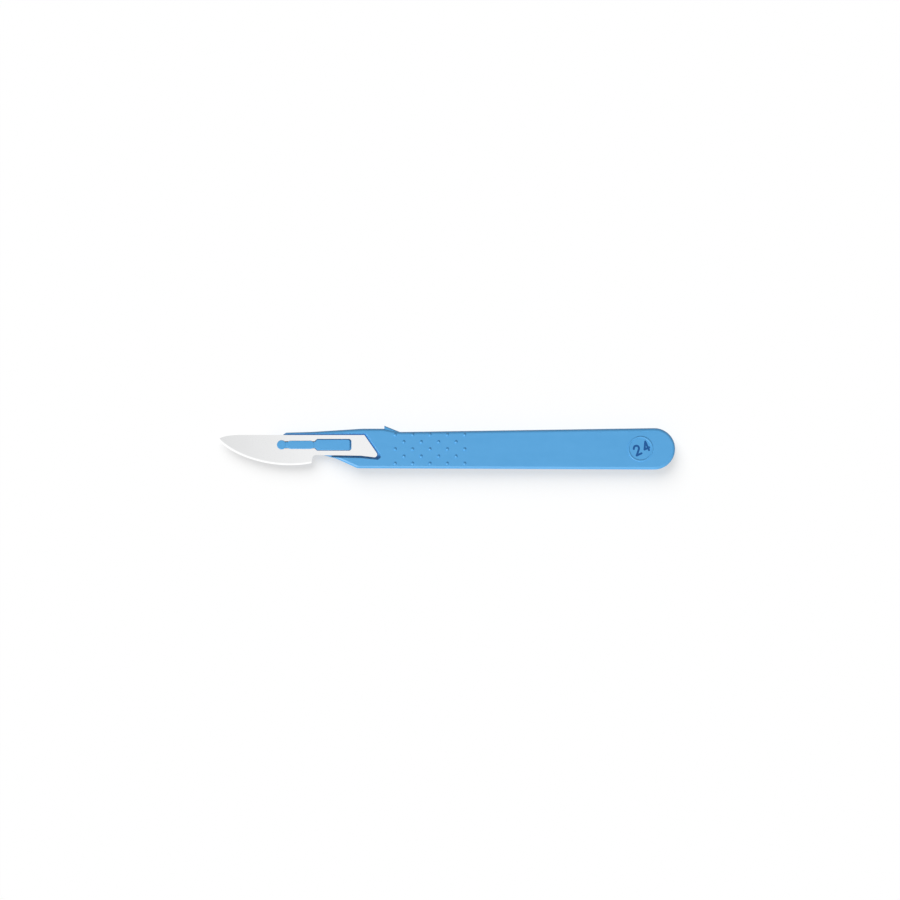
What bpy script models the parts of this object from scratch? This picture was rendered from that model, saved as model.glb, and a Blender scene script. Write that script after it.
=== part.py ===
"""Disposable scalpel: a flat moulded handle with a steel blade locked onto its nose.

Metres, +Z up. The handle lies on its flat back. +X runs to the tail, so the blade points
to -X, and +Y is the side of the blade's spine. The datum is on the back face, on the
handle's long axis and midway along its body.
"""

import math

import bmesh
import bpy
from mathutils import Matrix, Vector

# Handle body, seen from the front
HANDLE_THICKNESS = 0.0050
EDGE_RADIUS = 0.0010
TAIL_CENTRE_X = 0.04305
TAIL_RADIUS = 0.00716
GRIP_TOP_Y = 0.00582
GRIP_BOTTOM_Y = -0.00672

# Thumb stop on the upper side, the rise under it, and the shoulder in front of it
STOP_FACE_X = -0.0503
STOP_RISE = 0.00103
STOP_RAMP_LENGTH = 0.0054
STOP_INSET = 0.0004
STOP_RIM_RADIUS = 0.0004
RISE_RADIUS = 0.0060
SHOULDER_Y = 0.00696
SHOULDER_END_X = -0.0580
SHOULDER_RADIUS = 0.0200

# Nose: the lip beside the spine, the cheek below the tang, and the tip under the blade
LIP_BREAK_X = -0.0753
LIP_BREAK_Y = 0.00585
LIP_END_X = -0.0844
LIP_END_Y = 0.0056
LIP_END_RADIUS = 0.0012
NOSE_SHOULDER_X = -0.0868
NOSE_TIP_X = -0.0900
NOSE_TIP_WIDTH = 0.0046
NOSE_RADIUS = 0.0020
CHEEK_START_X = -0.0730
CHEEK_START_Y = -0.00175
CHEEK_BREAK_X = -0.0670
CHEEK_BREAK_Y = -0.00335
CHEEK_END_X = -0.0596
CHEEK_RADIUS = 0.0035
NOSE_TAPER_X = -0.0620
NOSE_FRONT_SLOPE = math.radians(2.6)
NOSE_BACK_SLOPE = math.radians(2.8)

# Grip pips and the size ring on the front face
PIP_RADIUS = 0.0006
PIP_HEIGHT = 0.00040
PIP_PITCH_X = 0.0060
PIP_PITCH_Y = 0.00248
PIP_ROWS = 5
PIP_COLUMNS = 5
GRIP_CENTRE_X = -0.03455
GRIP_CENTRE_Y = -0.0001
RING_X = 0.0382
RING_RADIUS = 0.0041
RING_BEAD_RADIUS = 0.00035
RING_BEAD_HEIGHT = 0.00025

# Seat of the blade. Its frame has its origin on the slot's axis, abreast of the upper
# rear corner of the blade and level with the handle's back
SEAT_X = -0.0572
SEAT_Y = 0.00140
SEAT_FLOOR_Z = 0.0030
FACE_CLEARANCE = 0.00005
SLOT_CLEARANCE = 0.00015
SLOT_REAR_CLEARANCE = 0.0005
SPINE_GAP = 0.00050
REAR_GAP = 0.00065
TANG_GAP = 0.00065
POCKET_CORNER_RADIUS = 0.0011
POCKET_RIM_RADIUS = 0.0003

# Steel blade, in the seat's frame
BLADE_THICKNESS = 0.0004
GRIND_WIDTH = 0.0008
SPINE_Y = 0.0034
SPINE_BEND_X = -0.0423
SPINE_BEND_REACH = 0.0046
TIP_X = -0.0508
TIP_Y = 0.00185
TIP_SPINE_REACH = 0.0019
TIP_SPINE_ANGLE = math.radians(32.0)
TIP_EDGE_REACH = 0.0104
TIP_EDGE_ANGLE = math.radians(-46.3)
HEEL_X = -0.0183
HEEL_Y = -0.00632
HEEL_REACH = 0.0105
HEEL_ANGLE = math.radians(192.2)
NOTCH_X = -0.01775
NOTCH_RADIUS = 0.0012
TANG_Y = -0.00355
TANG_BREAK_X = -0.0012
TANG_BREAK_Y = -0.0038
TANG_REAR_Y = -0.0046
TANG_CORNER_RADIUS = 0.0010
REAR_RAKE = math.radians(34.5)

# Slot in the blade: a narrow front stretch and a wide rear one
SLOT_FRONT_X = -0.0300
SLOT_STEP_X = -0.0172
SLOT_REAR_X = -0.0045
SLOT_NARROW_WIDTH = 0.0024
SLOT_WIDE_WIDTH = 0.0040
SLOT_STEP_RADIUS = 0.0005
SLOT_REAR_RADIUS = 0.0009

# Locking boss on the seat: two undercut heads in front and a block behind
HEAD_HEIGHT = 0.00045
HEAD_STEP = 0.0001
HEAD_EDGE_RADIUS = 0.0002
ROUND_HEAD_RADIUS = 0.0016
BAR_HEAD_WIDTH = 0.00283
BAR_HEAD_LENGTH = 0.0095
HEAD_SPACING = 0.0002

# Fineness of the curved surfaces
ARC_STEP = math.radians(7.5)
EDGE_SEGMENTS = 5
POCKET_RIM_SEGMENTS = 4
SPINE_STEPS = 10
EDGE_STEPS = 30
HEAD_SEGMENTS = 32
SMALL_RIM_SEGMENTS = 3
PIP_SEGMENTS = 14
PIP_RINGS = 8
RING_SEGMENTS = 56
BEAD_SEGMENTS = 10
SMOOTH_ANGLE = math.radians(30.0)

# Working allowances: how far the roots of the boss and the stop are sunk, how far cutters
# run clear, how far a rounded rim runs past the face that it meets, and what counts as the
# same point and as a flat face
ROOT_DEPTH = 0.0008
CUT_ALLOWANCE = 0.0020
RIM_OVERRUN = 0.00001
WELD = 1e-7
SAME_POINT = 1e-6
FLAT_TILT = 0.9
ROUND_END = 0.98
TANGENT_STEP = 1e-4
GRIND_SAMPLES = 400


def clear_scene():
    for item in list(bpy.data.objects):
        bpy.data.objects.remove(item, do_unlink=True)


def new_collection(name):
    collection = bpy.data.collections.new(name)
    bpy.context.scene.collection.children.link(collection)
    return collection


def plastic_material():
    """Light blue moulded polystyrene."""
    material = bpy.data.materials.new("blue_plastic")
    material.use_nodes = True
    shader = material.node_tree.nodes["Principled BSDF"]
    shader.inputs["Base Color"].default_value = (0.112, 0.386, 0.730, 1.0)
    shader.inputs["Roughness"].default_value = 0.45
    shader.inputs["Metallic"].default_value = 0.0
    return material


def steel_material():
    """Bright blade steel."""
    material = bpy.data.materials.new("blade_steel")
    material.use_nodes = True
    shader = material.node_tree.nodes["Principled BSDF"]
    shader.inputs["Base Color"].default_value = (0.78, 0.79, 0.80, 1.0)
    shader.inputs["Roughness"].default_value = 0.28
    shader.inputs["Metallic"].default_value = 1.0
    return material


def rounded_outline(corners):
    """Points of a closed outline, with an arc at each corner given as (x, y, radius)."""
    points = []
    for index, (x, y, radius) in enumerate(corners):
        corner = Vector((x, y))
        if radius == 0.0:
            points.append(corner)
            continue
        following = corners[(index + 1) % len(corners)]
        back = (Vector(corners[index - 1][:2]) - corner).normalized()
        ahead = (Vector(following[:2]) - corner).normalized()
        half_angle = back.angle(ahead) / 2.0
        reach = radius / math.tan(half_angle)
        centre = corner + (back + ahead).normalized() * (radius / math.sin(half_angle))
        start = corner + back * reach - centre
        end = corner + ahead * reach - centre
        turn = math.atan2(start.cross(end), start.dot(end))
        steps = max(2, math.ceil(abs(turn) / ARC_STEP))
        for step in range(steps + 1):
            points.append(centre + Matrix.Rotation(turn * step / steps, 2) @ start)
    return points


def bezier(start, start_handle, end_handle, end, fraction):
    """A point on a cubic curve, with its two handles given as points."""
    rest = 1.0 - fraction
    return (start * rest ** 3 + start_handle * (3.0 * rest * rest * fraction)
            + end_handle * (3.0 * rest * fraction * fraction) + end * fraction ** 3)


def polar(reach, angle):
    return Vector((reach * math.cos(angle), reach * math.sin(angle)))


def plate(name, outlines, bottom, top, parent, collection):
    """A flat plate between two heights; outlines after the first are holes in it."""
    curve = bpy.data.curves.new(name, "CURVE")
    curve.dimensions = "2D"
    curve.fill_mode = "BOTH"
    curve.extrude = (top - bottom) / 2.0
    for outline in outlines:
        spline = curve.splines.new("POLY")
        spline.points.add(len(outline) - 1)
        spline.use_cyclic_u = True
        for point, (x, y) in zip(spline.points, outline):
            point.co = (x, y, 0.0, 1.0)
    drawing = bpy.data.objects.new(name + "_outline", curve)
    collection.objects.link(drawing)
    drawing.parent = parent
    drawing.location = (0.0, 0.0, (bottom + top) / 2.0)
    bpy.context.view_layer.update()
    drawn = drawing.evaluated_get(bpy.context.evaluated_depsgraph_get())
    solid = bpy.data.objects.new(name, bpy.data.meshes.new_from_object(drawn))
    solid.matrix_world = drawing.matrix_world.copy()
    collection.objects.link(solid)
    bpy.data.objects.remove(drawing, do_unlink=True)
    shape = bmesh.new()
    shape.from_mesh(solid.data)
    bmesh.ops.remove_doubles(shape, verts=shape.verts, dist=WELD)
    bmesh.ops.recalc_face_normals(shape, faces=shape.faces)
    shape.to_mesh(solid.data)
    shape.free()
    return solid


def as_tool(item):
    """Marks a shape that only cuts or joins another one."""
    item.hide_render = True
    item.display_type = "WIRE"
    return item


def combine(target, tool, operation):
    modifier = target.modifiers.new(tool.name, "BOOLEAN")
    modifier.operation = operation
    modifier.solver = "EXACT"
    modifier.object = tool


def round_rims(item, radius, segments):
    """Rounds the rims of a plate's two faces, and leaves its upright corners alone."""
    shape = bmesh.new()
    shape.from_mesh(item.data)
    for side in (1.0, -1.0):
        face_parts = [face for face in shape.faces if face.normal.z * side > FLAT_TILT]
        bmesh.ops.dissolve_faces(shape, faces=face_parts)
    rims = [edge for edge in shape.edges
            if abs(edge.verts[0].co.z - edge.verts[1].co.z) < SAME_POINT]
    bmesh.ops.bevel(shape, geom=rims, offset=radius, offset_type="OFFSET", segments=segments,
                    profile=0.5, affect="EDGES", clamp_overlap=False)
    bmesh.ops.remove_doubles(shape, verts=shape.verts, dist=WELD)
    shape.to_mesh(item.data)
    shape.free()


def cutting_edge(fraction):
    """The blade's cutting edge, from the heel at 0 to the tip at 1."""
    heel = Vector((HEEL_X, HEEL_Y))
    tip = Vector((TIP_X, TIP_Y))
    return bezier(heel, heel + polar(HEEL_REACH, HEEL_ANGLE),
                  tip + polar(TIP_EDGE_REACH, TIP_EDGE_ANGLE), tip, fraction)


def spine_end(fraction):
    """The curved end of the spine, from its bend at 0 to the tip at 1."""
    bend = Vector((SPINE_BEND_X, SPINE_Y))
    tip = Vector((TIP_X, TIP_Y))
    return bezier(bend, bend - Vector((SPINE_BEND_REACH, 0.0)),
                  tip + polar(TIP_SPINE_REACH, TIP_SPINE_ANGLE), tip, fraction)


def ground_line(fraction):
    """Where the grind of the cutting edge meets the blade's flat face."""
    ahead = cutting_edge(fraction + TANGENT_STEP)
    behind = cutting_edge(fraction - TANGENT_STEP)
    along = (ahead - behind).normalized()
    return cutting_edge(fraction) + Vector((along.y, -along.x)) * GRIND_WIDTH


def grind_limits():
    """How far along the spine's end, and along the edge, the flat face reaches."""
    samples = [index / GRIND_SAMPLES for index in range(GRIND_SAMPLES // 2, GRIND_SAMPLES + 1)]
    grind = [(along_edge, ground_line(along_edge)) for along_edge in samples]
    meetings = []
    for along_spine in samples:
        point = spine_end(along_spine)
        along_edge, nearest = min(grind, key=lambda item: (item[1] - point).length)
        meetings.append(((nearest - point).length, along_spine, along_edge))
    return min(meetings)[1:]


def rear_edge_x(y, gap=0.0):
    """The blade's raked rear edge, or a line that lies a gap behind it."""
    return (SPINE_Y - y) * math.tan(REAR_RAKE) + gap / math.cos(REAR_RAKE)


def slot_outline(clearance, rear_clearance):
    """The slot's outline, or that of a boss with clearance in it all round."""
    narrow = SLOT_NARROW_WIDTH / 2.0 - clearance
    wide = SLOT_WIDE_WIDTH / 2.0 - clearance
    front = SLOT_FRONT_X + clearance
    step = SLOT_STEP_X + clearance
    rear = SLOT_REAR_X - rear_clearance
    upper = [
        (front, narrow, ROUND_END * narrow),
        (step, narrow, SLOT_STEP_RADIUS),
        (step + wide - narrow, wide, SLOT_STEP_RADIUS),
        (rear, wide, SLOT_REAR_RADIUS - clearance),
    ]
    lower = [(x, -y, radius) for x, y, radius in reversed(upper)]
    return rounded_outline(upper + lower)


def make_blade(seat, collection):
    """A flat plate whose lower side is ground from both faces to a sharp edge."""
    spine_limit, edge_limit = grind_limits()
    tang = rounded_outline([
        (HEEL_X, HEEL_Y, 0.0),
        (NOTCH_X, TANG_Y, NOTCH_RADIUS),
        (TANG_BREAK_X, TANG_BREAK_Y, 0.0),
        (rear_edge_x(TANG_REAR_Y), TANG_REAR_Y, TANG_CORNER_RADIUS),
        (rear_edge_x(SPINE_Y), SPINE_Y, 0.0),
    ])[1:]
    heel = Vector((HEEL_X, HEEL_Y))
    up_the_notch = (Vector((NOTCH_X, TANG_Y)) - heel).normalized()
    spine = [spine_end(spine_limit * index / SPINE_STEPS) for index in range(SPINE_STEPS)]
    edge = [cutting_edge(1.0 - index / EDGE_STEPS) for index in range(EDGE_STEPS + 1)]
    ground = [ground_line(edge_limit * (1.0 - index / EDGE_STEPS)) for index in range(EDGE_STEPS)]
    ground[0] = spine_end(spine_limit)
    ground.append(heel + up_the_notch * GRIND_WIDTH)

    half = BLADE_THICKNESS / 2.0
    outlines = [tang + spine + ground, slot_outline(0.0, 0.0)]
    blade = plate("blade", outlines, -half, half, seat, collection)
    shape = bmesh.new()
    shape.from_mesh(blade.data)
    uprights = []
    for side in shape.edges:
        upper, lower = side.verts
        middle = (upper.co + lower.co) / 2.0
        if abs(upper.co.z - lower.co.z) < half:
            continue
        if min((middle.xy - point).length for point in ground) < SAME_POINT:
            uprights.append(side)
    cut = bmesh.ops.subdivide_edges(shape, edges=uprights, cuts=1)
    for item in cut["geom_inner"]:
        if isinstance(item, bmesh.types.BMVert):
            nearest = min(range(len(ground)), key=lambda index: (item.co.xy - ground[index]).length)
            item.co.xy = edge[nearest]
    shape.to_mesh(blade.data)
    shape.free()
    blade.data.materials.append(steel_material())
    blade.location.z += SEAT_FLOOR_Z + FACE_CLEARANCE + half
    return blade


def handle_outline():
    """The handle from the front, from the top of the tail round by the nose."""
    tip_top = SEAT_Y + NOSE_TIP_WIDTH / 2.0
    tip_bottom = SEAT_Y - NOSE_TIP_WIDTH / 2.0
    corners = [
        (TAIL_CENTRE_X, TAIL_RADIUS, 0.0),
        (STOP_FACE_X + STOP_RAMP_LENGTH, GRIP_TOP_Y, RISE_RADIUS),
        (STOP_FACE_X, SHOULDER_Y, RISE_RADIUS),
        (SHOULDER_END_X, SHOULDER_Y, SHOULDER_RADIUS),
        (LIP_BREAK_X, LIP_BREAK_Y, SHOULDER_RADIUS),
        (LIP_END_X, LIP_END_Y, LIP_END_RADIUS),
        (NOSE_SHOULDER_X, tip_top, NOSE_RADIUS),
        (NOSE_TIP_X, tip_top, NOSE_RADIUS),
        (NOSE_TIP_X, tip_bottom, NOSE_RADIUS),
        (CHEEK_START_X, CHEEK_START_Y, CHEEK_RADIUS),
        (CHEEK_BREAK_X, CHEEK_BREAK_Y, CHEEK_RADIUS),
        (CHEEK_END_X, GRIP_BOTTOM_Y, CHEEK_RADIUS),
        (TAIL_CENTRE_X, -TAIL_RADIUS, 0.0),
    ]
    outline = rounded_outline(corners)
    steps = math.ceil(math.pi / ARC_STEP)
    centre = Vector((TAIL_CENTRE_X, 0.0))
    for step in range(1, steps):
        outline.append(centre + polar(TAIL_RADIUS, math.pi * (step / steps - 0.5)))
    return outline


def cut_at_taper(shape):
    """Adds edges where the nose starts to taper."""
    everything = shape.verts[:] + shape.edges[:] + shape.faces[:]
    bmesh.ops.bisect_plane(shape, geom=everything, dist=WELD,
                           plane_co=(NOSE_TAPER_X, 0.0, 0.0), plane_no=(1.0, 0.0, 0.0))


def beyond_taper(vertex):
    """How far a vertex lies ahead of the start of the nose's taper."""
    return max(0.0, NOSE_TAPER_X - vertex.co.x)


def make_body(collection):
    """The handle's slab, with the rims of both faces rounded and its nose tapered."""
    body = plate("handle", [handle_outline()], 0.0, HANDLE_THICKNESS, None, collection)
    body.data.transform(body.matrix_world)
    body.matrix_world = Matrix.Identity(4)
    round_rims(body, EDGE_RADIUS, EDGE_SEGMENTS)
    shape = bmesh.new()
    shape.from_mesh(body.data)
    cut_at_taper(shape)
    for vertex in shape.verts:
        if vertex.co.z > HANDLE_THICKNESS / 2.0:
            vertex.co.z -= beyond_taper(vertex) * math.tan(NOSE_FRONT_SLOPE)
        else:
            vertex.co.z += beyond_taper(vertex) * math.tan(NOSE_BACK_SLOPE)
    shape.to_mesh(body.data)
    shape.free()
    return body


def make_stop(collection):
    """The thumb stop: a wedge that ramps up out of the upper side to a square face."""
    crest = Vector((STOP_FACE_X, SHOULDER_Y + STOP_RISE))
    ramp_foot = Vector((STOP_FACE_X + STOP_RAMP_LENGTH, GRIP_TOP_Y))
    sunk_foot = ramp_foot + (ramp_foot - crest).normalized() * ROOT_DEPTH
    outline = [sunk_foot, crest, (STOP_FACE_X, sunk_foot.y)]
    stop = plate("thumb_stop", [outline], STOP_INSET, HANDLE_THICKNESS - STOP_INSET, None,
                 collection)
    round_rims(stop, STOP_RIM_RADIUS, SMALL_RIM_SEGMENTS)
    return as_tool(stop)


def pocket_outline(flare):
    """The pocket's outline, set back by a flare behind and below the tang.

    The lip beside the spine is too thin to be rounded, so the outline stays put there.
    """
    front_x = NOSE_TIP_X - SEAT_X - CUT_ALLOWANCE
    top_y = SPINE_Y + SPINE_GAP
    rear_y = TANG_REAR_Y - TANG_GAP - flare
    return rounded_outline([
        (front_x, top_y, 0.0),
        (rear_edge_x(top_y, REAR_GAP + flare), top_y, 0.0),
        (rear_edge_x(rear_y, REAR_GAP + flare), rear_y, POCKET_CORNER_RADIUS + flare),
        (TANG_BREAK_X, TANG_BREAK_Y - TANG_GAP - flare, 0.0),
        (NOTCH_X, TANG_Y - TANG_GAP - flare, 0.0),
        (front_x, TANG_Y - TANG_GAP - flare, 0.0),
    ])


def make_pocket(seat, collection):
    """The hollow that the tang lies in, open at the nose, whose rim rolls into the face."""
    levels = [(SEAT_FLOOR_Z, 0.0)]
    for step in range(POCKET_RIM_SEGMENTS + 1):
        turn = math.pi / 2.0 * step / POCKET_RIM_SEGMENTS
        depth = POCKET_RIM_RADIUS * (1.0 - math.sin(turn))
        levels.append((HANDLE_THICKNESS + RIM_OVERRUN - depth,
                       POCKET_RIM_RADIUS * (1.0 - math.cos(turn))))
    levels.append((HANDLE_THICKNESS + CUT_ALLOWANCE, POCKET_RIM_RADIUS))

    shape = bmesh.new()
    rings = []
    for height, flare in levels:
        outline = pocket_outline(flare)
        rings.append([shape.verts.new((SEAT_X + x, SEAT_Y + y, height)) for x, y in outline])
    for lower, upper in zip(rings, rings[1:]):
        for index in range(len(lower)):
            shape.faces.new((lower[index - 1], lower[index], upper[index], upper[index - 1]))
    shape.faces.new(rings[0])
    shape.faces.new(rings[-1])
    cut_at_taper(shape)
    for vertex in shape.verts:
        if vertex.co.z > SEAT_FLOOR_Z + SAME_POINT:
            vertex.co.z -= beyond_taper(vertex) * math.tan(NOSE_FRONT_SLOPE)
    bmesh.ops.recalc_face_normals(shape, faces=shape.faces)
    mesh = bpy.data.meshes.new("seat_pocket")
    shape.to_mesh(mesh)
    shape.free()
    pocket = bpy.data.objects.new("seat_pocket", mesh)
    collection.objects.link(pocket)
    return as_tool(pocket)


def adopt(item, name, collection):
    """Names a new primitive and moves it into a collection."""
    item.name = name
    for owner in list(item.users_collection):
        owner.objects.unlink(item)
    collection.objects.link(item)
    return item


def make_boss(seat, collection):
    """What locks the blade: a block and neck that fill its slot, with undercut heads."""
    under_head = SEAT_FLOOR_Z + BLADE_THICKNESS + 2.0 * FACE_CLEARANCE
    top = under_head + HEAD_HEIGHT
    root = SEAT_FLOOR_Z - ROOT_DEPTH
    outline = slot_outline(SLOT_CLEARANCE, SLOT_REAR_CLEARANCE)
    boss = as_tool(plate("slot_boss", [outline], root, top - HEAD_STEP, seat, collection))
    round_rims(boss, HEAD_EDGE_RADIUS, SMALL_RIM_SEGMENTS)

    round_x = SLOT_FRONT_X + SLOT_NARROW_WIDTH / 2.0 + SLOT_CLEARANCE
    bpy.ops.mesh.primitive_cylinder_add(
        vertices=HEAD_SEGMENTS, radius=ROUND_HEAD_RADIUS, depth=HEAD_HEIGHT,
        location=(SEAT_X + round_x, SEAT_Y, under_head + HEAD_HEIGHT / 2.0))
    round_head = as_tool(adopt(bpy.context.object, "round_head", collection))
    round_rims(round_head, HEAD_EDGE_RADIUS, SMALL_RIM_SEGMENTS)

    half = BAR_HEAD_WIDTH / 2.0
    bar_front = round_x + ROUND_HEAD_RADIUS + HEAD_SPACING
    bar = [(bar_front, half), (bar_front + BAR_HEAD_LENGTH, half)]
    bar += [(x, -y) for x, y in reversed(bar)]
    bar_outline = rounded_outline([(x, y, ROUND_END * half) for x, y in bar])
    bar_head = as_tool(plate("bar_head", [bar_outline], under_head, top, seat, collection))
    round_rims(bar_head, HEAD_EDGE_RADIUS, SMALL_RIM_SEGMENTS)

    combine(boss, round_head, "UNION")
    combine(boss, bar_head, "UNION")
    return boss


def make_pips(collection):
    """Staggered rows of low domes on the grip."""
    ball = (PIP_RADIUS ** 2 + PIP_HEIGHT ** 2) / (2.0 * PIP_HEIGHT)
    height = HANDLE_THICKNESS + PIP_HEIGHT - ball
    shape = bmesh.new()
    for row in range(PIP_ROWS):
        y = GRIP_CENTRE_Y + (row - (PIP_ROWS - 1) / 2.0) * PIP_PITCH_Y
        count = PIP_COLUMNS - row % 2
        for column in range(count):
            x = GRIP_CENTRE_X + (column - (count - 1) / 2.0) * PIP_PITCH_X
            bmesh.ops.create_uvsphere(shape, u_segments=PIP_SEGMENTS, v_segments=PIP_RINGS,
                                      radius=ball, matrix=Matrix.Translation((x, y, height)))
    mesh = bpy.data.meshes.new("grip_pips")
    shape.to_mesh(mesh)
    shape.free()
    pips = bpy.data.objects.new("grip_pips", mesh)
    collection.objects.link(pips)
    return as_tool(pips)


def make_ring(collection):
    """The raised ring on the tail that frames the blade's size number."""
    bpy.ops.mesh.primitive_torus_add(
        major_radius=RING_RADIUS, minor_radius=RING_BEAD_RADIUS,
        major_segments=RING_SEGMENTS, minor_segments=BEAD_SEGMENTS,
        location=(RING_X, 0.0, HANDLE_THICKNESS + RING_BEAD_HEIGHT - RING_BEAD_RADIUS))
    return as_tool(adopt(bpy.context.object, "size_ring", collection))


def make_handle(seat, parts, tools):
    handle = make_body(parts)
    handle.data.materials.append(plastic_material())
    combine(handle, make_stop(tools), "UNION")
    combine(handle, make_pocket(seat, tools), "DIFFERENCE")
    combine(handle, make_boss(seat, tools), "UNION")
    combine(handle, make_pips(tools), "UNION")
    combine(handle, make_ring(tools), "UNION")
    return handle


def finish(item):
    """Shades the curved surfaces smooth and keeps the real corners sharp."""
    item.data.shade_smooth()
    item.data.set_sharp_from_angle(angle=SMOOTH_ANGLE)


def main():
    clear_scene()
    parts = new_collection("disposable_scalpel")
    tools = new_collection("cutters")
    seat = bpy.data.objects.new("blade_seat", None)
    seat.location = (SEAT_X, SEAT_Y, 0.0)
    seat.empty_display_size = HANDLE_THICKNESS
    parts.objects.link(seat)
    bpy.context.view_layer.update()
    finish(make_handle(seat, parts, tools))
    finish(make_blade(seat, parts))


main()
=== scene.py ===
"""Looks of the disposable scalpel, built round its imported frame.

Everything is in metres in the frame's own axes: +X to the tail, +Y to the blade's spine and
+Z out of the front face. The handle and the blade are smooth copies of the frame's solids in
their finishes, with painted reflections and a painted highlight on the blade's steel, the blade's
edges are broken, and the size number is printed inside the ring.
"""

import math

import bmesh
import bpy
from mathutils import Matrix, Vector
from mathutils.bvhtree import BVHTree


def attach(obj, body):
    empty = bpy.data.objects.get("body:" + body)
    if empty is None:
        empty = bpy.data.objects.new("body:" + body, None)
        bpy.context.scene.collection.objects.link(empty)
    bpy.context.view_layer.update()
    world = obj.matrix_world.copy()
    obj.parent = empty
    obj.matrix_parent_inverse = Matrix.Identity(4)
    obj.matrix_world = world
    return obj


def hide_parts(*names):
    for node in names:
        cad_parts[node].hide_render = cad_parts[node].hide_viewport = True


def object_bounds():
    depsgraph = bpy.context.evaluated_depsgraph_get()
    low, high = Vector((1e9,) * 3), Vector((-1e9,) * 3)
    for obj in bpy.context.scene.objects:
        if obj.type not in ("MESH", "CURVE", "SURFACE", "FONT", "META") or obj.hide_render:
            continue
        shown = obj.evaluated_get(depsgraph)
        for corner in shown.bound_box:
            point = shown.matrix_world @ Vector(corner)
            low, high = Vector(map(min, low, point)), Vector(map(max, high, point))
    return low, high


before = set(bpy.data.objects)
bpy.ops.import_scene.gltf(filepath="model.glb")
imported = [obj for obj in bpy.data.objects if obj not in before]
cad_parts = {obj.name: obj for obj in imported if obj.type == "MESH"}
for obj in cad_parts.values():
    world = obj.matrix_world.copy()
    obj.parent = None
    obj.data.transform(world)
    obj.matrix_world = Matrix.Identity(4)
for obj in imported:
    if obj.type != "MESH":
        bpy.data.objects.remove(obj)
cad_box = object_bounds()

MM = 0.001

# Smooth copies: points this close are one, faces that turn no more than this lie in one plane,
# the sharpest turns that are shaded smooth, and how far the blade's pressed edges are broken
SAME_POINT = 0.0002 * MM
SAME_PLANE = math.radians(0.1)
MOULDED_SMOOTH = math.radians(40.0)
PRESSED_SMOOTH = math.radians(9.0)
BREAK_WIDTH = 0.03 * MM
BREAK_SEGMENTS = 2

# The ground faces of the blade lean by more than the first angle and less than the second
GROUND_LEAN = math.radians(4.0)
WALL_LEAN = math.radians(60.0)

# Grinding depth is 0 on the strip, 1 where the ground faces start and 2 at the cutting edge. The
# honed edge, smoother and with a painted highlight, starts at the first of these values and is
# full at the second
GRINDING_DEPTH = "grinding_depth"
HONED_HIGHLIGHT_FROM = 1.30
HONED_HIGHLIGHT_FULLY = 1.40

# Noise: the range that most of it lies in, and the detail of fine marks
NOISE_RANGE = (0.3, 0.7)
FINE_DETAIL = 3.0

# Moulded plastic. In each finish, marks are given by their length along X, Y and Z, colours and
# roughness by both ends of their range, and a bump by its depth and strength
FLOW_MARKS = (26.0 * MM, 5.0 * MM, 5.0 * MM)
CLOUDS = (3.0 * MM, 2.2 * MM, 2.2 * MM)
SPARKS = (0.14 * MM, 0.14 * MM, 0.14 * MM)
SPARK_BUMP = (0.010 * MM, 0.6)
PLASTIC_BLUES = ((0.069, 0.329, 0.653, 1.0), (0.079, 0.351, 0.685, 1.0))
PLASTIC_ROUGHNESS = (0.38, 0.50)
PLASTIC_IOR = 1.55

# Blade steel
ROLLING_LINES = (9.0 * MM, 0.07 * MM, 0.3 * MM)
HAZE = (6.0 * MM, 4.0 * MM, 4.0 * MM)
GRINDING_LINE = 0.05 * MM
LINE_BUMP = (0.002 * MM, 0.6)
# The strip's greys run from the point's to the heel's, a painted reflection, with random haze and
# lines
STRIP_GREYS = ((0.58, 0.584, 0.588, 1.0), (0.73, 0.734, 0.738, 1.0))
# The ground faces' greys are lighter than the strip's, a painted reflection
BEVEL_REFLECTION_GREYS = ((0.68, 0.684, 0.688, 1.0), (0.76, 0.764, 0.768, 1.0))
# The honed edge's grey is a painted highlight along the cutting edge
EDGE_HIGHLIGHT_GREY = (0.86, 0.864, 0.868, 1.0)
STEEL_ROUGHNESS = (0.20, 0.30)
HONED_SMOOTHER = 0.10

# Ink
SPECKLES = (0.16 * MM, 0.16 * MM, 0.16 * MM)
SPECKLE_RANGE = (0.35, 0.75)
SPECKLE_BUMP = (0.006 * MM, 1.0)
INK_BLUES = ((0.003, 0.068, 0.245, 1.0), (0.012, 0.115, 0.350, 1.0))
INK_ROUGHNESS = (0.50, 0.68)
INK_GLOSS = 0.25

# Size number, printed inside the ring on the tail
NUMBER_FROM_TAIL = 11.65 * MM
NUMBER_Y = 0.2 * MM
NUMBER_TILT = math.radians(24.0)
DIGIT_HEIGHT = 3.9 * MM
DIGIT_WIDTH = 2.5 * MM
DIGIT_SPACING = 3.3 * MM
STROKE_WIDTH = 0.70 * MM
INK_THICKNESS = 0.02 * MM
INK_SINK = 0.008 * MM
ARC_STEPS = 16
DISC_SIDES = 24

# The crown of the 2 runs between two angles in degrees. The stem of the 4 and its bar lie at
# these shares of the way from its middle to its right side and to its foot
CROWN_START = 170.0
CROWN_END = -38.0
STEM_OUT = 0.50
BAR_DOWN = 0.50

# Camera straight above, with the photograph's framing
FRAME_WIDTH = 310.7 * MM
FRAME_X = -27.6 * MM
FRAME_Y = -0.4 * MM
LENS = 120.0
SENSOR = 36.0

# Light: a level is the share of plain white that a level face gets. Each lamp has a compass
# angle from +X towards +Y, a slope from straight up and the angle that it spans, in degrees
ROOM_LEVEL = 0.32
HANDLE_LAMP = {"level": 0.68, "compass": 240.0, "slope": 44.0, "span": 30.0}
BLADE_LAMP = {"level": 0.08, "compass": 240.0, "slope": 12.0, "span": 70.0}
FLOOR_LAMP = {"level": 0.68, "compass": 114.0, "slope": 45.0, "span": 52.0}

# Floor: how much of its brightness comes from the lamps, and its paleness to other surfaces
FLOOR_SHADE = 0.42
FLOOR_PALENESS = 0.80
FLOOR_SIZE = 6.0
FLOOR_GAP = 0.02 * MM


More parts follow.
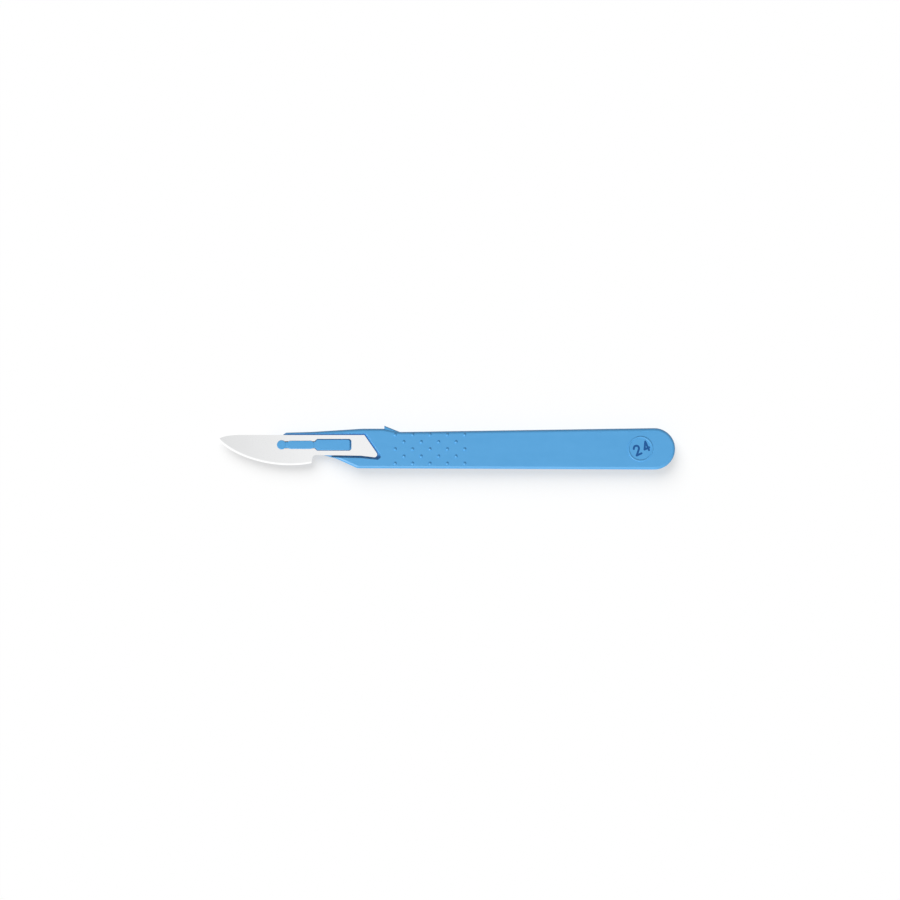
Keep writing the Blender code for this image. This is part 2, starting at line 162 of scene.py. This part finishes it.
class Value:
    """An output of a node, with arithmetic that adds Math nodes."""

    def __init__(self, nodes, socket):
        self.nodes = nodes
        self.socket = socket

    def output(self, name):
        """Another output of the same node."""
        return Value(self.nodes, self.socket.node.outputs[name])

    def __add__(self, other):
        return self.nodes.maths("ADD", self, other)

    def __sub__(self, other):
        return self.nodes.maths("SUBTRACT", self, other)

    def __rsub__(self, other):
        return self.nodes.maths("SUBTRACT", other, self)

    def __mul__(self, other):
        return self.nodes.maths("MULTIPLY", self, other)

    __radd__ = __add__
    __rmul__ = __mul__


class Nodes:
    """A tree of nodes."""

    def __init__(self, tree):
        self.tree = tree

    def node(self, kind, inputs=None, output=0, **settings):
        """Adds a node with its settings first, then the values or links of its sockets."""
        node = self.tree.nodes.new(kind)
        for setting, value in settings.items():
            setattr(node, setting, value)
        for key, value in (inputs or {}).items():
            if isinstance(value, Value):
                self.tree.links.new(value.socket, node.inputs[key])
            else:
                node.inputs[key].default_value = value
        return Value(self, node.outputs[output]) if node.outputs else None

    def maths(self, operation, first, second):
        """Adds a Math node for two values or numbers."""
        return self.node("ShaderNodeMath", {0: first, 1: second}, operation=operation)


class Paint(Nodes):
    """The nodes of a material or of the world."""

    def __init__(self, owner):
        owner.use_nodes = True
        super().__init__(owner.node_tree)
        self.owner = owner
        self.tree.nodes.clear()

    def place(self, origin=(0.0, 0.0, 0.0)):
        """The X, Y and Z of a point on the piece, from an origin."""
        place = self.node("ShaderNodeTexCoord", output="Object")
        moved = self.node("ShaderNodeVectorMath", {0: place, 1: origin}, operation="SUBTRACT")
        split = self.node("ShaderNodeSeparateXYZ", {0: moved})
        return [split.output(axis) for axis in "XYZ"]

    def grain(self, size, detail=2.0):
        """Noise from 0 to 1, with blotches about this long along X, Y and Z."""
        place = self.node("ShaderNodeTexCoord", output="Object")
        scale = [1.0 / side for side in size]
        stretched = self.node("ShaderNodeVectorMath", {0: place, 1: scale}, operation="MULTIPLY")
        return self.node("ShaderNodeTexNoise",
                         {"Vector": stretched, "Scale": 1.0, "Detail": detail})

    def spread(self, value, low, high, start=0.0, end=1.0):
        """Carries a value from one range to another and holds it at the ends."""
        return self.node("ShaderNodeMapRange", {"Value": value, "From Min": low, "From Max": high,
                                                "To Min": start, "To Max": end})

    # A Mix node repeats its sockets' names for each kind of data, so they go by number
    def mix(self, share, first, second):
        """Value between two others."""
        return self.node("ShaderNodeMix", {0: share, 2: first, 3: second}, data_type="FLOAT")

    def blend(self, share, first, second):
        """Colour between two others."""
        return self.node("ShaderNodeMix", {0: share, 6: first, 7: second}, output=2,
                         data_type="RGBA")

    def bump(self, height, depth, strength):
        """Surface normal for a height from 0 to 1 that is this deep."""
        return self.node("ShaderNodeBump", {"Height": height, "Distance": depth,
                                            "Strength": strength})

    def surface(self, shader):
        """Puts a shader on what is painted, and returns what is painted."""
        kind = "World" if isinstance(self.owner, bpy.types.World) else "Material"
        self.node(f"ShaderNodeOutput{kind}", {"Surface": shader})
        return self.owner


def new_paint(name):
    """The nodes of a new material."""
    return Paint(bpy.data.materials.new(name))


def grey(level):
    """A plain grey, from 0 for black to 1 for white."""
    return (level, level, level, 1.0)


def moulded_plastic():
    """Light blue polystyrene from a finely sparked mould: satin, with faint flow marks."""
    paint = new_paint("moulded_blue_plastic")
    flow = paint.grain(FLOW_MARKS, FINE_DETAIL)
    cloud = paint.grain(CLOUDS)
    spark = paint.grain(SPARKS, FINE_DETAIL)
    tone = paint.spread(flow * 0.7 + cloud * 0.3, *NOISE_RANGE)
    shader = paint.node("ShaderNodeBsdfPrincipled", {
        "Base Color": paint.blend(tone, *PLASTIC_BLUES),
        "Roughness": paint.spread(cloud * 0.5 + spark * 0.5, *NOISE_RANGE, *PLASTIC_ROUGHNESS),
        "IOR": PLASTIC_IOR,
        "Normal": paint.bump(spark, *SPARK_BUMP),
    })
    return paint.surface(shader)


def blade_steel(edge_centre, edge_radius, point_x, heel_x):
    """Satin strip steel with fine rolling lines, ground faces with a painted reflection, and a
    painted highlight on the smoother honed edge.

    The cutting edge lies nearly on a circle, and the grinding lines run towards its centre.
    The strip is painted a little darker at the point than from the heel on, a painted reflection.
    """
    paint = new_paint("satin_blade_steel")
    depth = paint.node("ShaderNodeAttribute", output="Fac", attribute_name=GRINDING_DEPTH)
    ground = paint.spread(depth, 0.0, 1.0)
    honed = paint.spread(depth, HONED_HIGHLIGHT_FROM, HONED_HIGHLIGHT_FULLY)
    rolling = paint.grain(ROLLING_LINES, FINE_DETAIL)
    haze = paint.grain(HAZE)
    across, up, _ = paint.place(edge_centre)
    along_edge = paint.maths("ARCTAN2", up, across) * (edge_radius / GRINDING_LINE)
    grinding = paint.node("ShaderNodeTexNoise", {"W": along_edge, "Scale": 1.0, "Detail": 2.0},
                          noise_dimensions="1D")
    lines = paint.mix(ground, rolling, grinding)
    # The strip is painted darker towards the point, a painted reflection; its haze and lines are
    # the steel's own
    painted_reflection_to_heel = paint.spread(paint.place()[0], point_x, heel_x)
    strip = paint.blend(painted_reflection_to_heel * 0.65 + haze * 0.20 + lines * 0.15, *STRIP_GREYS)
    # The ground faces are painted lighter than the strip, a painted reflection, carrying the
    # grinding lines
    bevel = paint.blend(lines, *BEVEL_REFLECTION_GREYS)
    satin = paint.spread(lines * 0.6 + haze * 0.4, *NOISE_RANGE, *STEEL_ROUGHNESS)
    shader = paint.node("ShaderNodeBsdfPrincipled", {
        # The honed edge gets a lighter grey, which is a painted highlight, and less roughness
        "Base Color": paint.blend(honed, paint.blend(ground, strip, bevel), EDGE_HIGHLIGHT_GREY),
        "Metallic": 1.0,
        "Roughness": satin - honed * HONED_SMOOTHER,
        "Normal": paint.bump(lines, *LINE_BUMP),
    })
    return paint.surface(shader)


def printing_ink():
    """Dark blue pad-printed ink, a little thin in places."""
    paint = new_paint("dark_blue_ink")
    speckle = paint.grain(SPECKLES, FINE_DETAIL)
    shader = paint.node("ShaderNodeBsdfPrincipled", {
        "Base Color": paint.blend(paint.spread(speckle, *SPECKLE_RANGE), *INK_BLUES),
        "Roughness": paint.spread(speckle, *NOISE_RANGE, *INK_ROUGHNESS),
        "Specular IOR Level": INK_GLOSS,
        "Normal": paint.bump(speckle, *SPECKLE_BUMP),
    })
    return paint.surface(shader)


def placed(name, data):
    """A new object in the scene."""
    item = bpy.data.objects.new(name, data)
    bpy.context.scene.collection.objects.link(item)
    return item


def merged(mesh):
    """The shape of a mesh, with its loose triangles joined up.

    Triangles that lie in one plane become one face, which keeps flat faces evenly shaded.
    """
    shape = bmesh.new()
    shape.from_mesh(mesh)
    bmesh.ops.remove_doubles(shape, verts=shape.verts, dist=SAME_POINT)
    bmesh.ops.dissolve_limit(shape, angle_limit=SAME_PLANE, verts=shape.verts, edges=shape.edges)
    shape.normal_update()
    return shape


def finished(shape, mesh):
    """Writes a shape into a mesh and frees the shape."""
    shape.to_mesh(mesh)
    shape.free()
    return mesh


def skin(shape, name, smooth_angle):
    """Makes a piece from a shape, smooth but for the edges that turn by more than an angle."""
    for edge in shape.edges:
        edge.smooth = edge.calc_face_angle() <= smooth_angle
    for face in shape.faces:
        face.smooth = True
    return placed(name, finished(shape, bpy.data.meshes.new(name)))


def break_edges(piece):
    """Rounds the edges that carry a bevel weight."""
    rounding = piece.modifiers.new("broken_edges", "BEVEL")
    rounding.limit_method = "WEIGHT"
    rounding.width = BREAK_WIDTH
    rounding.segments = BREAK_SEGMENTS
    rounding.miter_outer = "MITER_ARC"


def even_normals(piece):
    """Lets large faces set the shading next to them, so that they look flat."""
    normals = piece.modifiers.new("face_normals", "WEIGHTED_NORMAL")
    normals.keep_sharp = True


def is_ground(face):
    """True for a face that leans as the ground faces along the cutting edge do."""
    return GROUND_LEAN < math.acos(min(1.0, abs(face.normal.z))) < WALL_LEAN


def mark_pressed_edges(shape):
    """Gives every sharp edge but the cutting edge the weight that breaks it."""
    weight = shape.edges.layers.float.new("bevel_weight_edge")
    for edge in shape.edges:
        cutting = all(is_ground(face) for face in edge.link_faces)
        edge[weight] = float(edge.calc_face_angle() > PRESSED_SMOOTH and not cutting)


def on_the_cutting_edge(point):
    """True for a point that ground faces of both sides share."""
    return len({face.normal.z > 0.0 for face in point.link_faces if is_ground(face)}) == 2


def mark_ground_faces(shape):
    """Gives the ground faces their grinding depth, and returns the points on them."""
    depth = shape.loops.layers.float.new(GRINDING_DEPTH)
    points = []
    for face in shape.faces:
        if is_ground(face):
            for corner in face.loops:
                corner[depth] = 2.0 if on_the_cutting_edge(corner.vert) else 1.0
                points.append(corner.vert.co.xy.copy())
    return points


def circle_through(first, second, third):
    """Centre and radius of the circle through three points in a plane."""
    to_second, to_third = second - first, third - first
    twice_area = 2.0 * to_second.cross(to_third)
    x = (to_third.y * to_second.length_squared - to_second.y * to_third.length_squared)
    y = (to_second.x * to_third.length_squared - to_third.x * to_second.length_squared)
    reach = Vector((x, y)) / twice_area
    return first + reach, reach.length


def dress(piece, finish, slot, *nodes):
    """Gives a finished piece its material and body, and hides the frame's solids that it stands
    for. Its slot is not used.
    """
    piece.data.materials.clear()
    piece.data.materials.append(finish)
    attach(piece, "root")
    if nodes:
        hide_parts(*nodes)


def moulded_handle():
    """The plastic handle, whose rims are round in the frame's solid already."""
    shape = merged(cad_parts["handle"].data)
    handle = skin(shape, "moulded_handle", MOULDED_SMOOTH)
    even_normals(handle)
    dress(handle, moulded_plastic(), "blue_plastic", "handle")
    return handle


def ground_blade():
    """The steel blade, with its pressed edges broken and its cutting edge sharp."""
    shape = merged(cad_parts["blade"].data)
    mark_pressed_edges(shape)
    ground = mark_ground_faces(shape)
    point = min(ground, key=lambda place: place.x)
    heel = max(ground, key=lambda place: place.x)
    halfway = (point.x + heel.x) / 2.0
    belly = min(ground, key=lambda place: abs(place.x - halfway))
    centre, radius = circle_through(point, belly, heel)
    blade = skin(shape, "ground_blade", PRESSED_SMOOTH)
    break_edges(blade)
    even_normals(blade)
    dress(blade, blade_steel(centre.to_3d(), radius, point.x, heel.x), "blade_steel", "blade")
    return blade


def arc(centre, radius, start, end):
    """Points round part of a circle, with its angles in degrees."""
    turns = [math.radians(start + (end - start) * step / ARC_STEPS)
             for step in range(ARC_STEPS + 1)]
    return [centre + Vector((math.cos(turn), math.sin(turn))) * radius for turn in turns]


def figure_two(across, up):
    """Strokes of a plain 2, about its middle."""
    crown = arc(Vector((0.0, up - across)), across, CROWN_START, CROWN_END)
    foot = [Vector((-across, -up)), Vector((across, -up))]
    return [crown + foot[:1], foot]


def figure_four(across, up):
    """Strokes of a plain 4, about its middle."""
    top = Vector((STEM_OUT * across, up))
    elbow = Vector((-across, -BAR_DOWN * up))
    return [[top, elbow], [elbow, Vector((across, elbow.y))], [top, Vector((top.x, -up))]]


def number_drawing():
    """The two figures of the size number as lines, about its middle."""
    across = (DIGIT_WIDTH - STROKE_WIDTH) / 2.0
    up = (DIGIT_HEIGHT - STROKE_WIDTH) / 2.0
    curve = bpy.data.curves.new("size_number", "CURVE")
    curve.dimensions = "3D"
    for shift, figure in ((-DIGIT_SPACING / 2.0, figure_two), (DIGIT_SPACING / 2.0, figure_four)):
        for stroke in figure(across, up):
            spline = curve.splines.new("POLY")
            spline.points.add(len(stroke) - 1)
            for point, place in zip(spline.points, stroke):
                point.co = (place.x + shift, place.y, 0.0, 1.0)
    return placed("size_number_lines", curve)


def stroke_tree(ink):
    """Nodes that print a line: a flat bar along each curve, with a round end at each end."""
    group = bpy.data.node_groups.new("printed_strokes", "GeometryNodeTree")
    sockets = group.interface
    sockets.new_socket("Lines", in_out="INPUT", socket_type="NodeSocketGeometry")
    for name in ("Width", "Thickness"):
        sockets.new_socket(name, in_out="INPUT", socket_type="NodeSocketFloat")
    sockets.new_socket("Print", in_out="OUTPUT", socket_type="NodeSocketGeometry")

    nodes = Nodes(group)
    given = nodes.node("NodeGroupInput")
    lines, width, thickness = [given.output(name) for name in ("Lines", "Width", "Thickness")]
    bar = nodes.node("GeometryNodeCurvePrimitiveQuadrilateral",
                     {"Width": width, "Height": thickness})
    upright = nodes.node("GeometryNodeSetCurveNormal", {"Curve": lines}, mode="Z_UP")
    bars = nodes.node("GeometryNodeCurveToMesh",
                      {"Curve": upright, "Profile Curve": bar, "Fill Caps": True})
    ends = nodes.node("GeometryNodeCurveEndpointSelection")
    disc = nodes.node("GeometryNodeMeshCylinder",
                      {"Vertices": DISC_SIDES, "Radius": width * 0.5, "Depth": thickness})
    discs = nodes.node("GeometryNodeInstanceOnPoints",
                       {"Points": lines, "Selection": ends, "Instance": disc})
    loose = nodes.node("GeometryNodeRealizeInstances", {"Geometry": discs})
    whole = nodes.node("GeometryNodeMeshBoolean", {"Mesh 2": bars, "Self Intersection": True},
                       operation="UNION", solver="EXACT")
    group.links.new(loose.socket, whole.socket.node.inputs["Mesh 2"])
    real = nodes.node("GeometryNodeRealizeInstances", {"Geometry": whole})
    inked = nodes.node("GeometryNodeSetMaterial", {"Geometry": real, "Material": ink})
    nodes.node("NodeGroupOutput", {"Print": inked})
    return group


def set_input(modifier, name, value):
    """Sets a tree's named input through its identifier."""
    for item in modifier.node_group.interface.items_tree:
        if item.name == name and item.in_out == "INPUT":
            modifier[item.identifier] = value


def printed(drawing, ink):
    """The mesh of a drawing's lines once they are printed, which takes the drawing's place."""
    printing = drawing.modifiers.new("printing", "NODES")
    printing.node_group = stroke_tree(ink)
    set_input(printing, "Width", STROKE_WIDTH)
    set_input(printing, "Thickness", INK_THICKNESS)
    bpy.context.view_layer.update()
    drawn = drawing.evaluated_get(bpy.context.evaluated_depsgraph_get())
    mesh = bpy.data.meshes.new_from_object(drawn)
    bpy.data.objects.remove(drawing, do_unlink=True)
    finished(merged(mesh), mesh)
    mesh.shade_flat()
    return mesh


def front_height(node, place):
    """Height of a node's front face at a place."""
    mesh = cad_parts[node].data
    tree = BVHTree.FromPolygons([v.co for v in mesh.vertices], [p.vertices for p in mesh.polygons])
    above = Vector((place.x, place.y, cad_box[1].z + MM))
    return tree.ray_cast(above, Vector((0.0, 0.0, -1.0)))[0].z


def size_number():
    """The blade's plain size number, printed on the front face inside the ring."""
    ink = printing_ink()
    mesh = printed(number_drawing(), ink)
    centre = Vector((cad_box[1].x - NUMBER_FROM_TAIL, NUMBER_Y, 0.0))
    centre.z = front_height("handle", centre) + INK_THICKNESS / 2.0 - INK_SINK
    mesh.transform(Matrix.Translation(centre) @ Matrix.Rotation(NUMBER_TILT, 4, "Z"))
    number = placed("size_number", mesh)
    dress(number, ink, "blue_plastic")
    return number


def rays_seen(paint):
    """1 for rays that the camera sees, straight or by way of metal or glass."""
    rays = paint.node("ShaderNodeLightPath")
    camera, glossy, clear = [rays.output(f"Is {kind} Ray")
                             for kind in ("Camera", "Glossy", "Transmission")]
    return paint.node("ShaderNodeMath", {0: camera + glossy, 1: clear}, operation="ADD",
                      use_clamp=True)


def floor_finish():
    """Matt ground that keeps the shadow and reaches plain white away from it."""
    paint = new_paint("pale_floor")
    lit = paint.node("ShaderNodeBsdfDiffuse", {"Color": grey(FLOOR_SHADE)})
    glow = paint.node("ShaderNodeEmission", {"Color": grey(1.0), "Strength": 1.0 - FLOOR_SHADE})
    shown = paint.node("ShaderNodeAddShader", {0: lit, 1: glow})
    plain = paint.node("ShaderNodeBsdfDiffuse", {"Color": grey(FLOOR_PALENESS)})
    shader = paint.node("ShaderNodeMixShader", {0: rays_seen(paint), 1: plain, 2: shown})
    return paint.surface(shader)


def pale_floor():
    """A plain pale floor just under the object."""
    shape = bmesh.new()
    bmesh.ops.create_grid(shape, x_segments=1, y_segments=1, size=FLOOR_SIZE / 2.0,
                          matrix=Matrix.Translation((0.0, 0.0, cad_box[0].z - FLOOR_GAP)))
    floor = placed("floor", finished(shape, bpy.data.meshes.new("floor")))
    floor.data.materials.append(floor_finish())
    return floor


def white_room():
    """Even light from all round, which looks plain white to the camera and to metal."""
    world = bpy.data.worlds.new("white_room")
    bpy.context.scene.world = world
    paint = Paint(world)
    level = paint.spread(rays_seen(paint), 0.0, 1.0, ROOM_LEVEL, 1.0)
    paint.surface(paint.node("ShaderNodeBackground", {"Color": grey(1.0), "Strength": level}))


def soft_lamp(name, lit, level, compass, slope, span):
    """A wide, distant lamp that brings level faces to this level and lights only some pieces."""
    turn, lean = math.radians(compass), math.radians(slope)
    light = bpy.data.lights.new(name, "SUN")
    light.angle = math.radians(span)
    light.energy = level * math.pi / math.cos(lean)
    lamp = placed(name, light)
    away = Vector((math.sin(lean) * math.cos(turn), math.sin(lean) * math.sin(turn),
                   math.cos(lean)))
    lamp.rotation_euler = away.to_track_quat("Z", "Y").to_euler()
    receivers = bpy.data.collections.new(name + "_lights")
    for item in lit:
        receivers.objects.link(item)
    lamp.light_linking.receiver_collection = receivers


def overhead_camera():
    """A long lens straight above the object."""
    camera = bpy.data.cameras.new("overhead_camera")
    camera.lens = LENS
    camera.sensor_width = SENSOR
    holder = placed("overhead_camera", camera)
    holder.location = (FRAME_X, FRAME_Y, cad_box[1].z + FRAME_WIDTH * LENS / SENSOR)
    bpy.context.scene.camera = holder


def main():
    """Makes the three pieces, then the floor, the light and the camera."""
    handle = moulded_handle()
    blade = ground_blade()
    number = size_number()

    floor = pale_floor()
    white_room()
    soft_lamp("handle_lamp", [handle, number], **HANDLE_LAMP)
    soft_lamp("blade_lamp", [blade], **BLADE_LAMP)
    soft_lamp("floor_lamp", [floor], **FLOOR_LAMP)
    overhead_camera()
    bpy.context.scene.view_settings.view_transform = "Standard"


main()
